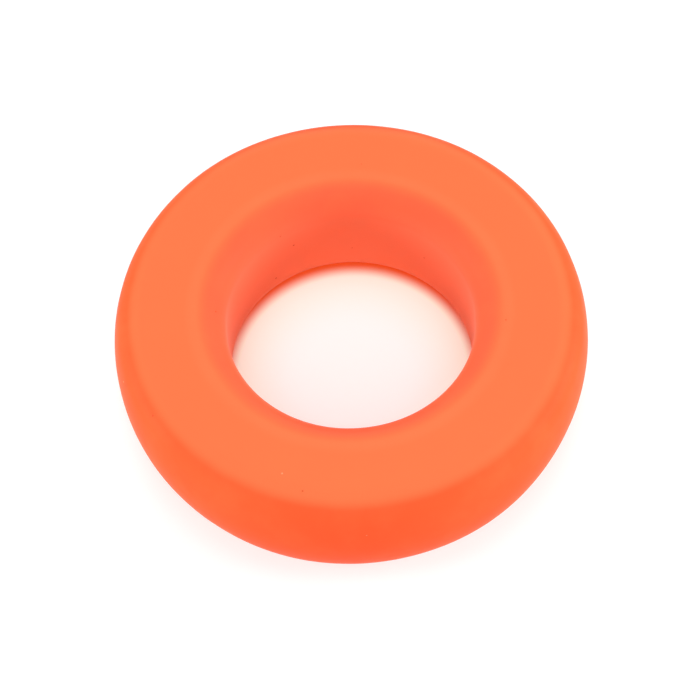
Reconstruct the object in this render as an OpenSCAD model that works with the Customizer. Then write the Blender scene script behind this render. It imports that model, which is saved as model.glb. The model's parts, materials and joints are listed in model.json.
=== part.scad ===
// Soft flying ring: a light foam core, closed in by a smooth elastomer skin.
// Sizes are in mm. The ring lies on z = 0 with its axis along z, and its larger rounding is at the base.

/* [Ring] */
// Outer diameter, at the widest line of the side
outer_d = 160; // [146:1:190]
// Diameter of the straight wall of the centre hole
hole_d = 83.5; // [60:0.5:95]
// Height from the underside to the top face
ring_h = 47.5; // [40:0.5:56]

/* [Outer side] */
// Radius of the outward curve of the side, seen in section
side_r = 43.5; // [36:0.5:160]
// Height of the widest line of the side
side_z = 27; // [20:0.5:32]
// Rounding from the side to the top face
top_outer_r = 10; // [4:0.5:14]
// Rounding from the side to the underside
base_outer_r = 15; // [8:0.5:18]

/* [Centre hole] */
// Rounding from the hole to the top face
top_hole_r = 10.5; // [4:0.5:14]
// Rounding from the hole to the underside
base_hole_r = 11; // [4:0.5:14]

/* [Skin] */
// Thickness of the elastomer skin
skin_t = 1; // [0.5:0.1:2.5]
// Thickness of the bond line between the skin and the foam
bond_t = 0.1; // [0.05:0.05:0.4]

/* [Hidden] */
$fn = 180;
// Degrees between two points of a rounding.
arc_step = 3;

// Centre of the arc that curves the side outward, as [distance from the axis, height].
side_c = [outer_d / 2 - side_r, side_z];

// Centre of a rounding of radius r at height z that runs on smoothly into the side.
function side_corner(r, z) = [side_c.x + sqrt(pow(side_r - r, 2) - pow(z - side_z, 2)), z];

// Centres of the four roundings of the section.
top_outer_c = side_corner(top_outer_r, ring_h - top_outer_r);
base_outer_c = side_corner(base_outer_r, base_outer_r);
top_hole_c = [hole_d / 2 + top_hole_r, ring_h - top_hole_r];
base_hole_c = [hole_d / 2 + base_hole_r, base_hole_r];

// Direction, in degrees, in which a rounding about corner meets the side.
function meets_side(corner) = atan2(corner.y - side_c.y, corner.x - side_c.x);

// Points of an arc. The skips leave out an end that the neighbouring arc already has.
function arc(centre, radius, from, to, skip_first = 0, skip_last = 0) =
    let (steps = ceil(abs(to - from) / arc_step))
    [for (i = [skip_first : steps - skip_last])
        let (angle = from + (to - from) * i / steps)
        centre + radius * [cos(angle), sin(angle)]];

// The ring's section at a depth below its surface. Every depth shares the same arc centres.
// The side is two arcs, so that its widest line is a line of the solid.
module section(depth = 0) {
    top_turn = meets_side(top_outer_c);
    base_turn = meets_side(base_outer_c);
    polygon(concat(
        arc(top_outer_c, top_outer_r - depth, 90, top_turn),
        arc(side_c, side_r - depth, top_turn, 0, skip_first = 1),
        arc(side_c, side_r - depth, 0, base_turn, skip_first = 1, skip_last = 1),
        arc(base_outer_c, base_outer_r - depth, base_turn, -90),
        arc(base_hole_c, base_hole_r - depth, -90, -180),
        arc(top_hole_c, top_hole_r - depth, 180, 90)
    ));
}

// Closed-cell foam ring that gives the flying ring its body and keeps it light.
module foam_core() {
    color("navajowhite")
        rotate_extrude()
            section(skin_t + bond_t);
}

// Seamless elastomer skin that encloses the foam all round and is bonded to it.
module outer_skin() {
    color("coral")
        rotate_extrude()
            difference() {
                section();
                section(skin_t);
            }
}

foam_core();
outer_skin();
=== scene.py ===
import json
import math

import bmesh
import bpy
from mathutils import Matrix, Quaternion, Vector, noise


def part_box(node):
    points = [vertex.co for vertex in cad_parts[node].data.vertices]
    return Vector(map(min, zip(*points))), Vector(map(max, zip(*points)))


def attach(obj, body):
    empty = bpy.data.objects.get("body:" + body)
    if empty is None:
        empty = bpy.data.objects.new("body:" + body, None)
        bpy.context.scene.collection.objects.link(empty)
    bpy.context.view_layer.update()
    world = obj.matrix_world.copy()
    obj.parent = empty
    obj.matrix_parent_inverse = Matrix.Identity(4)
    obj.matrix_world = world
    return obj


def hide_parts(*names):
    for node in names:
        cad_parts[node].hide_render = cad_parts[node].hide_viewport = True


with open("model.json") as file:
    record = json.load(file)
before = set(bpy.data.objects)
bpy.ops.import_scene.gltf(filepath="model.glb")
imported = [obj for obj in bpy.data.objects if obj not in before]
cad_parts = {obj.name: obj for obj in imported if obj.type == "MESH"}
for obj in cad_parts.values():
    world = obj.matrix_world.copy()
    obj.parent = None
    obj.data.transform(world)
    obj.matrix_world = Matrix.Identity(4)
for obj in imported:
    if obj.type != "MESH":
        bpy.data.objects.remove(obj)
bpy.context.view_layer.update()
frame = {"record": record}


# Foam core. The real piece is a moulded ring of closed-cell foam, light and springy, that fills the skin.
# It is one body of revolution, and the skin over it has the same section at its own depth below the surface.
# The two share the centres of their roundings, so the skin is equally thick everywhere.
ring_low, ring_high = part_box("outer_skin")
outer_radius = (ring_high.x - ring_low.x) / 2
ring_height = ring_high.z - ring_low.z
mounts = {mount["name"]: mount for mount in frame["record"]["mounts"]}
hole_radius = mounts["centre_hole"]["dims"]["r_mm"] / 1000
side_radius = 0.0435
side_height = 0.027
top_outer_rounding = 0.010
base_outer_rounding = 0.015
top_hole_rounding = 0.0105
base_hole_rounding = 0.011
skin_thickness = 0.001
bond_thickness = 0.0001
around_steps = 336
section_spacing = 0.0013
widest_turn = math.radians(9)
longest_arc_edge = 3 * section_spacing
flat_cuts = 15


def arc(centre, radius, start, stop):
    """Points of an arc in the section, as vectors of distance from the axis and height."""
    turn = math.radians(abs(stop - start))
    steps = max(2, math.ceil(turn * radius / section_spacing), math.ceil(turn / widest_turn))
    turns = [math.radians(start + (stop - start) * i / steps) for i in range(steps + 1)]
    return [centre + radius * Vector((math.cos(turn), math.sin(turn))) for turn in turns]


def side_corner(radius, height):
    """Centre of a rounding at a height that runs on smoothly into the outward curve of the side."""
    reach = math.sqrt((side_radius - radius) ** 2 - (height - side_height) ** 2)
    return Vector((outer_radius - side_radius + reach, height))


def section_points(depth):
    """The ring's section at a depth below its surface: the corners' arcs and the bowed side, in order."""
    side = Vector((outer_radius - side_radius, side_height))
    top_outer = side_corner(top_outer_rounding, ring_height - top_outer_rounding)
    base_outer = side_corner(base_outer_rounding, base_outer_rounding)
    top_hole = Vector((hole_radius + top_hole_rounding, ring_height - top_hole_rounding))
    base_hole = Vector((hole_radius + base_hole_rounding, base_hole_rounding))
    top_turn = math.degrees(math.atan2(top_outer.y - side.y, top_outer.x - side.x))
    base_turn = math.degrees(math.atan2(base_outer.y - side.y, base_outer.x - side.x))
    return (
        arc(top_outer, top_outer_rounding - depth, 90, top_turn)
        + arc(side, side_radius - depth, top_turn, 0)[1:]
        + arc(side, side_radius - depth, 0, base_turn)[1:-1]
        + arc(base_outer, base_outer_rounding - depth, base_turn, -90)
        + arc(base_hole, base_hole_rounding - depth, -90, -180)
        + arc(top_hole, top_hole_rounding - depth, 180, 90)
    )


def revolved_ring(depth):
    """A closed ring surface at a depth below the ring's own, turned from its section."""
    bm = bmesh.new()
    points = section_points(depth)
    corners = [bm.verts.new((point.x, 0, point.y)) for point in points]
    for corner, following in zip(corners, corners[1:] + corners[:1]):
        bm.edges.new((corner, following))
    flats = [edge for edge in bm.edges if edge.calc_length() > longest_arc_edge]
    bmesh.ops.subdivide_edges(bm, edges=flats, cuts=flat_cuts)
    bmesh.ops.spin(
        bm, geom=bm.verts[:] + bm.edges[:], cent=(0, 0, 0), axis=(0, 0, 1),
        angle=math.tau, steps=around_steps, use_merge=True,
    )
    bmesh.ops.recalc_face_normals(bm, faces=bm.faces[:])
    return bm


swell_height = 0.00022
ripple_height = 0.00005
swell_size = 0.045
ripple_size = 0.013
ripple_shift = Vector((7, 3, 5))
settle_height = 0.006


def let_settle(bm):
    """Moves the surface a little in and out, as a soft moulding cools, and leaves its underside flat."""
    bm.normal_update()
    moves = []
    for vert in bm.verts:
        swell = noise.noise(vert.co / swell_size)
        ripple = noise.noise(vert.co / ripple_size + ripple_shift)
        free = min(1, vert.co.z / settle_height)
        moves.append(vert.normal * free * free * (swell * swell_height + ripple * ripple_height))
    for vert, move in zip(bm.verts, moves):
        vert.co += move


class Wire:
    """A shader socket. Arithmetic on it adds Math nodes, and node() adds any other node."""

    def __init__(self, tree, socket=None):
        self.tree = tree
        self.socket = socket

    def node(self, kind, settings, inputs, output=0):
        made = self.tree.nodes.new(kind)
        for name, value in settings.items():
            setattr(made, name, value)
        for name, value in inputs.items():
            if isinstance(value, Wire):
                self.tree.links.new(value.socket, made.inputs[name])
            else:
                made.inputs[name].default_value = value
        return Wire(self.tree, made.outputs[output] if len(made.outputs) else None)

    def maths(self, operation, first, second):
        return self.node("ShaderNodeMath", {"operation": operation}, {0: first, 1: second})

    def __add__(self, other):
        return self.maths("ADD", self, other)

    def __sub__(self, other):
        return self.maths("SUBTRACT", self, other)

    def __mul__(self, other):
        return self.maths("MULTIPLY", self, other)

    def __rsub__(self, other):
        return self.maths("SUBTRACT", other, self)

    __radd__ = __add__
    __rmul__ = __mul__


def new_finish(name):
    """An empty material, as the wire that its nodes are added through, and the material itself."""
    material = bpy.data.materials.new(name)
    material.use_nodes = True
    material.node_tree.nodes.clear()
    return Wire(material.node_tree), material


def grain(add, place, size, detail=2.0, roughness=0.5):
    """Noise between 0 and 1 whose features are about size metres across."""
    return add.node(
        "ShaderNodeTexNoise", {},
        {"Vector": place, "Scale": 1 / size, "Detail": detail, "Roughness": roughness},
    )


def colour_mix(add, factor, first, second):
    """A blend from one colour to another."""
    return add.node("ShaderNodeMix", {"data_type": "RGBA"}, {0: factor, 6: first, 7: second}, output=2)


def ease(add, value, low, high):
    """0 under low, 1 over high and a smooth rise between."""
    return add.node(
        "ShaderNodeMapRange", {"interpolation_type": "SMOOTHSTEP"},
        {0: value, 1: low, 2: high, 3: 0.0, 4: 1.0},
    )


def spots(add, place, spacing):
    """Distance from the nearest of many scattered points, as a share of the spacing between them."""
    return add.node("ShaderNodeTexVoronoi", {"feature": "F1"}, {"Vector": place, "Scale": 1 / spacing})


def add_piece(name, bm, material):
    """Turns a bmesh into a smooth-shaded piece of the object."""
    mesh = bpy.data.meshes.new(name)
    bm.to_mesh(mesh)
    bm.free()
    mesh.polygons.foreach_set("use_smooth", [True] * len(mesh.polygons))
    mesh.materials.append(material)
    piece = bpy.data.objects.new(name, mesh)
    bpy.context.collection.objects.link(piece)
    return piece


foam_colour = (0.80, 0.62, 0.36, 1)
foam_cell_painted_shade = (0.50, 0.34, 0.16, 1)
foam_cell_size = 0.0009
foam_cell_wall = (0.25, 0.75)
foam_patch_size = 0.012
foam_patch_share = 0.3
foam_relief_depth = 0.0003
foam_relief_strength = 0.6
foam_roughness = 0.9


def closed_cell_foam():
    add, material = new_finish("closed_cell_foam")
    place = add.node("ShaderNodeTexCoord", {}, {}, output="Object")
    wall = ease(add, spots(add, place, foam_cell_size), *foam_cell_wall)
    patch = grain(add, place, foam_patch_size)
    shown = wall * (1 - foam_patch_share + patch * foam_patch_share)
    # Painted shade: the pits of the cells are coloured darker, as shade would fall in them.
    colour = colour_mix(add, shown, foam_cell_painted_shade, foam_colour)
    relief = add.node(
        "ShaderNodeBump", {},
        {"Height": wall, "Strength": foam_relief_strength, "Distance": foam_relief_depth},
    )
    surface = add.node(
        "ShaderNodeBsdfPrincipled", {},
        {"Base Color": colour, "Roughness": foam_roughness, "Normal": relief},
    )
    add.node("ShaderNodeOutputMaterial", {}, {"Surface": surface})
    return material


core_bm = revolved_ring(skin_thickness + bond_thickness)
let_settle(core_bm)
core = add_piece("moulded_core", core_bm, closed_cell_foam())
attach(core, "root")
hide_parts("foam_core")


# Outer skin. The real piece is a seamless skin of soft orange elastomer, about a millimetre thick, that is
# bonded to the foam all round. It is smooth and matt, with a fine grain and a few pinholes. Its colour
# carries painted light and shade. Painted shade makes its bowed side, the hole's lip and the pinholes a
# deeper orange than the flat faces. Painted light makes the hole's wall paler, and painted reflected light
# makes the side near the base lighter and warmer. A painted highlight lightens a band round the hole's rim.
# Painted shade: the bowed side is a deeper orange than the flat faces.
side_painted_shade_orange = (1.0, 0.105, 0.032, 1)
# Painted reflected light: near the base the side is lighter and warmer, as if lit by the sheet below.
base_painted_reflection_orange = (1.0, 0.122, 0.018, 1)
# Painted shade: the hole's lip is a deeper orange.
lip_painted_shade_orange = (1.0, 0.127, 0.056, 1)
skin_face_orange = (1.0, 0.172, 0.063, 1)
# Painted highlight: a paler band round the hole's rim, mottled with the bloom.
rim_painted_highlight_orange = (1.0, 0.192, 0.076, 1)
# Painted light: the hole's wall is a paler orange.
hole_painted_light_orange = (1.0, 0.208, 0.100, 1)
bloom_orange = (1.0, 0.187, 0.067, 1)
pinhole_painted_shade = (0.62, 0.06, 0.02, 1)
dust_shade = (1.0, 0.42, 0.24, 1)
under_top_band = (-0.0130, -0.0024)
lip_band = (0.0046, 0.0100)
flat_face_band = (-0.0020, -0.0001)
above_base_band = (0.004, 0.017)
outer_side_start = 0.012
outer_side_inset = 0.018
rim_rise = (0.0075, 0.0100)
rim_fall = (0.0105, 0.0140)
rim_highlight_share = 0.15
rim_highlight_bloom_share = 0.7
bloom_size = 0.020
bloom_detail = 4.0
bloom_mottle = 0.6
bloom_band = (0.35, 0.8)
bloom_share = 0.22
pinhole_spacing = 0.009
pinhole_edge = (0.03, 0.05)
pinhole_painted_shade_share = 0.7
dust_spacing = 0.0123
dust_edge = (0.016, 0.034)
dust_share = 0.6
fine_grain_size = 0.0005
fine_grain_rise = 0.35
dimple_size = 0.0024
dimple_rise = 0.65
pinhole_drop = 2.0
skin_relief_depth = 0.00004
skin_relief_strength = 0.5
skin_roughness = 0.30
bloom_roughness = 0.12
skin_refraction = 1.06


def ease_past(add, value, line, band):
    """0 before a band and 1 past it, where the band's two ends are measured from a line."""
    return ease(add, value, line + band[0], line + band[1])


def painted_shading_by_place(add, place, bloom):
    """The skin's orange, which differs a little between hole, lip, flat faces, side and base as painted light
    and shade, with a painted highlight round the hole's rim.
    """
    height = add.node("ShaderNodeSeparateXYZ", {}, {"Vector": place}, output="Z")
    level = add.node("ShaderNodeVectorMath", {"operation": "MULTIPLY"}, {0: place, 1: (1, 1, 0)})
    from_axis = add.node("ShaderNodeVectorMath", {"operation": "LENGTH"}, {0: level}, output="Value")
    from_middle = add.maths("ABSOLUTE", height - ring_height / 2, 0.0)
    near_top = ease_past(add, height, ring_height, under_top_band)
    past_lip = ease_past(add, from_axis, hole_radius, lip_band)
    inner = colour_mix(add, near_top, hole_painted_light_orange, lip_painted_shade_orange)
    inner = colour_mix(add, past_lip, inner, skin_face_orange)
    on_face = ease_past(add, from_middle, ring_height / 2, flat_face_band)
    outer = colour_mix(add, ease(add, height, *above_base_band), base_painted_reflection_orange, side_painted_shade_orange)
    outer = colour_mix(add, on_face, outer, skin_face_orange)
    on_outer = ease(add, from_axis, hole_radius + outer_side_start, outer_radius - outer_side_inset)
    colour = colour_mix(add, on_outer, inner, outer)
    # A painted highlight lightens a band round the hole's rim.
    rim = ease_past(add, from_axis, hole_radius, rim_rise) - ease_past(add, from_axis, hole_radius, rim_fall)
    return colour_mix(add, rim * (rim_highlight_share + bloom * rim_highlight_bloom_share), colour, rim_painted_highlight_orange)


def orange_elastomer():
    add, material = new_finish("orange_elastomer")
    place = add.node("ShaderNodeTexCoord", {}, {}, output="Object")
    bloom = grain(add, place, bloom_size, detail=bloom_detail, roughness=bloom_mottle)
    colour = painted_shading_by_place(add, place, bloom)
    colour = colour_mix(add, ease(add, bloom, *bloom_band) * bloom_share, colour, bloom_orange)
    fine = grain(add, place, fine_grain_size)
    dimples = grain(add, place, dimple_size, detail=1.0)
    pinholes = 1 - ease(add, spots(add, place, pinhole_spacing), *pinhole_edge)
    # Painted shade: the pinholes are coloured darker, as shade would fall in them.
    colour = colour_mix(add, pinholes * pinhole_painted_shade_share, colour, pinhole_painted_shade)
    dust = 1 - ease(add, spots(add, place, dust_spacing), *dust_edge)
    colour = colour_mix(add, dust * dust_share, colour, dust_shade)
    relief_height = fine * fine_grain_rise + dimples * dimple_rise - pinholes * pinhole_drop + dust
    relief = add.node(
        "ShaderNodeBump", {},
        {"Height": relief_height, "Strength": skin_relief_strength, "Distance": skin_relief_depth},
    )
    roughness = skin_roughness + bloom * bloom_roughness
    surface = add.node(
        "ShaderNodeBsdfPrincipled", {},
        {"Base Color": colour, "Roughness": roughness, "IOR": skin_refraction, "Normal": relief},
    )
    add.node("ShaderNodeOutputMaterial", {}, {"Surface": surface})
    return material


skin_bm = revolved_ring(0)
let_settle(skin_bm)
bmesh.ops.solidify(skin_bm, geom=skin_bm.faces[:], thickness=skin_thickness)
skin = add_piece("elastomer_skin", skin_bm, orange_elastomer())
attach(skin, "root")
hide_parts("outer_skin")


# Table and light tent. The ring lies on a white sheet, with soft lamps above it, at both sides, in front and
# behind. Inside the hole the sheet carries painted light, a painted orange reflection and a painted shadow at
# the hole's foot. The camera looks down on it from the front, turned a few degrees about its own axis.
sheet_white = (0.95, 0.90, 0.83, 1)
seen_sheet = (0.58, 0.58, 0.58, 1)
# Painted shadow: at the hole's foot the seen sheet is a dark red-orange.
painted_foot_shadow = (0.60, 0.21, 0.05, 1)
open_glow = (0.50, 0.50, 0.50, 1)
far_glow = (1.0, 1.0, 1.0, 1)
# Painted light: inside the hole the sheet glows brighter than outside.
hole_painted_light_glow = (0.57, 0.565, 0.555, 1)
# Painted reflection: towards the hole's wall the sheet's glow turns orange.
painted_orange_reflection_glow = (0.54, 0.465, 0.365, 1)
# Painted shadow: at the hole's foot the glow is red only.
painted_foot_shadow_glow = (0.40, 0.0, 0.0, 1)
under_ring_band = (0.010, 0.020)
painted_reflection_band = (0.018, 0.046)
painted_foot_shadow_band = (0.0397, 0.0460)
far_band = (0.18, 0.60)
sheet_size = 3.0


def background_rays(add):
    """1 for the rays that see a background: the camera's own, and those that gloss or glass passes on."""
    kinds = add.node("ShaderNodeLightPath", {}, {}).socket.node.outputs
    names = ("Is Camera Ray", "Is Glossy Ray", "Is Transmission Ray")
    from_camera, from_gloss, from_glass = [Wire(add.tree, kinds[name]) for name in names]
    return add.maths("MAXIMUM", from_camera, add.maths("MAXIMUM", from_gloss, from_glass))


def white_sheet():
    """White paper that glows a little where it is seen. Inside the hole it glows brighter as painted light,
    turns orange towards the hole's wall as a painted reflection, and carries a painted red-orange shadow at
    the hole's foot.
    """
    add, material = new_finish("white_sheet")
    place = add.node("ShaderNodeTexCoord", {}, {}, output="Object")
    from_axis = add.node("ShaderNodeVectorMath", {"operation": "LENGTH"}, {0: place}, output="Value")
    in_hole = 1 - ease_past(add, from_axis, hole_radius, under_ring_band)
    painted_shadow_at_foot = ease(add, from_axis, *painted_foot_shadow_band)
    # Painted light in the hole, turning to a painted orange reflection towards the hole's wall.
    hole_painted_light = colour_mix(add, ease(add, from_axis, *painted_reflection_band), hole_painted_light_glow, painted_orange_reflection_glow)
    hole_painted_light = colour_mix(add, painted_shadow_at_foot, hole_painted_light, painted_foot_shadow_glow)
    open_colour = colour_mix(add, ease(add, from_axis, *far_band), open_glow, far_glow)
    glow = add.node("ShaderNodeEmission", {}, {"Color": colour_mix(add, in_hole, open_colour, hole_painted_light)})
    seen_colour = colour_mix(add, painted_shadow_at_foot * in_hole, seen_sheet, painted_foot_shadow)
    seen_paper = add.node("ShaderNodeBsdfDiffuse", {}, {"Color": seen_colour})
    seen = add.node("ShaderNodeAddShader", {}, {0: seen_paper, 1: glow})
    paper = add.node("ShaderNodeBsdfDiffuse", {}, {"Color": sheet_white})
    surface = add.node("ShaderNodeMixShader", {}, {0: background_rays(add), 1: paper, 2: seen})
    add.node("ShaderNodeOutputMaterial", {}, {"Surface": surface})
    return material


floor_bm = bmesh.new()
bmesh.ops.create_grid(floor_bm, x_segments=1, y_segments=1, size=sheet_size / 2)
floor = add_piece("floor", floor_bm, white_sheet())

tent_strength = 0.30
seen_tent_strength = 1.0
tent_colour = (1, 1, 1, 1)
world = bpy.data.worlds.new("light_tent")
bpy.context.scene.world = world
world.use_nodes = True
world.node_tree.nodes.clear()
tent = Wire(world.node_tree)
tent_light = tent.node("ShaderNodeBackground", {}, {"Color": tent_colour, "Strength": tent_strength})
tent_white = tent.node("ShaderNodeBackground", {}, {"Color": tent_colour, "Strength": seen_tent_strength})
tent_seen = tent.node("ShaderNodeMixShader", {}, {0: background_rays(tent), 1: tent_light, 2: tent_white})
tent.node("ShaderNodeOutputWorld", {}, {"Surface": tent_seen})


lamp_distance = 1.1


def add_soft_lamp(name, turn, height_angle, size, power):
    """A square soft lamp that faces the ring. Its turn, in degrees, is from the right towards the back."""
    lamp = bpy.data.lights.new(name, "AREA")
    lamp.shape = "SQUARE"
    lamp.size = size
    lamp.energy = power
    turn, height_angle = math.radians(turn), math.radians(height_angle)
    flat_reach = math.cos(height_angle)
    away = Vector((flat_reach * math.cos(turn), flat_reach * math.sin(turn), math.sin(height_angle)))
    held = bpy.data.objects.new(name, lamp)
    held.location = away * lamp_distance
    held.rotation_euler = (-away).to_track_quat("-Z", "Y").to_euler()
    bpy.context.collection.objects.link(held)


add_soft_lamp("overhead_lamp", 0, 90, 0.5, 3.0)
add_soft_lamp("right_lamp", 0, 11, 0.6, 13.0)
add_soft_lamp("left_lamp", 180, 11, 0.6, 10.6)
add_soft_lamp("front_lamp", 270, 46, 0.7, 4.9)
add_soft_lamp("back_lamp", 90, 10, 0.7, 8.2)

camera_height_angle = math.radians(60.04)
camera_distance = 8.0 * outer_radius
camera_roll = math.radians(-2.61)
camera_aim = Vector((-0.0006, -0.0037, ring_height / 2))
camera_data = bpy.data.cameras.new("camera")
camera_data.lens = 96.44
camera = bpy.data.objects.new("camera", camera_data)
camera.location = Vector((0, 0, ring_height / 2)) + camera_distance * Vector(
    (0, -math.cos(camera_height_angle), math.sin(camera_height_angle))
)
look = (camera_aim - camera.location).to_track_quat("-Z", "Y")
camera.rotation_euler = (look @ Quaternion((0, 0, 1), camera_roll)).to_euler()
bpy.context.collection.objects.link(camera)
bpy.context.scene.camera = camera
bpy.context.scene.view_settings.view_transform = "Standard"
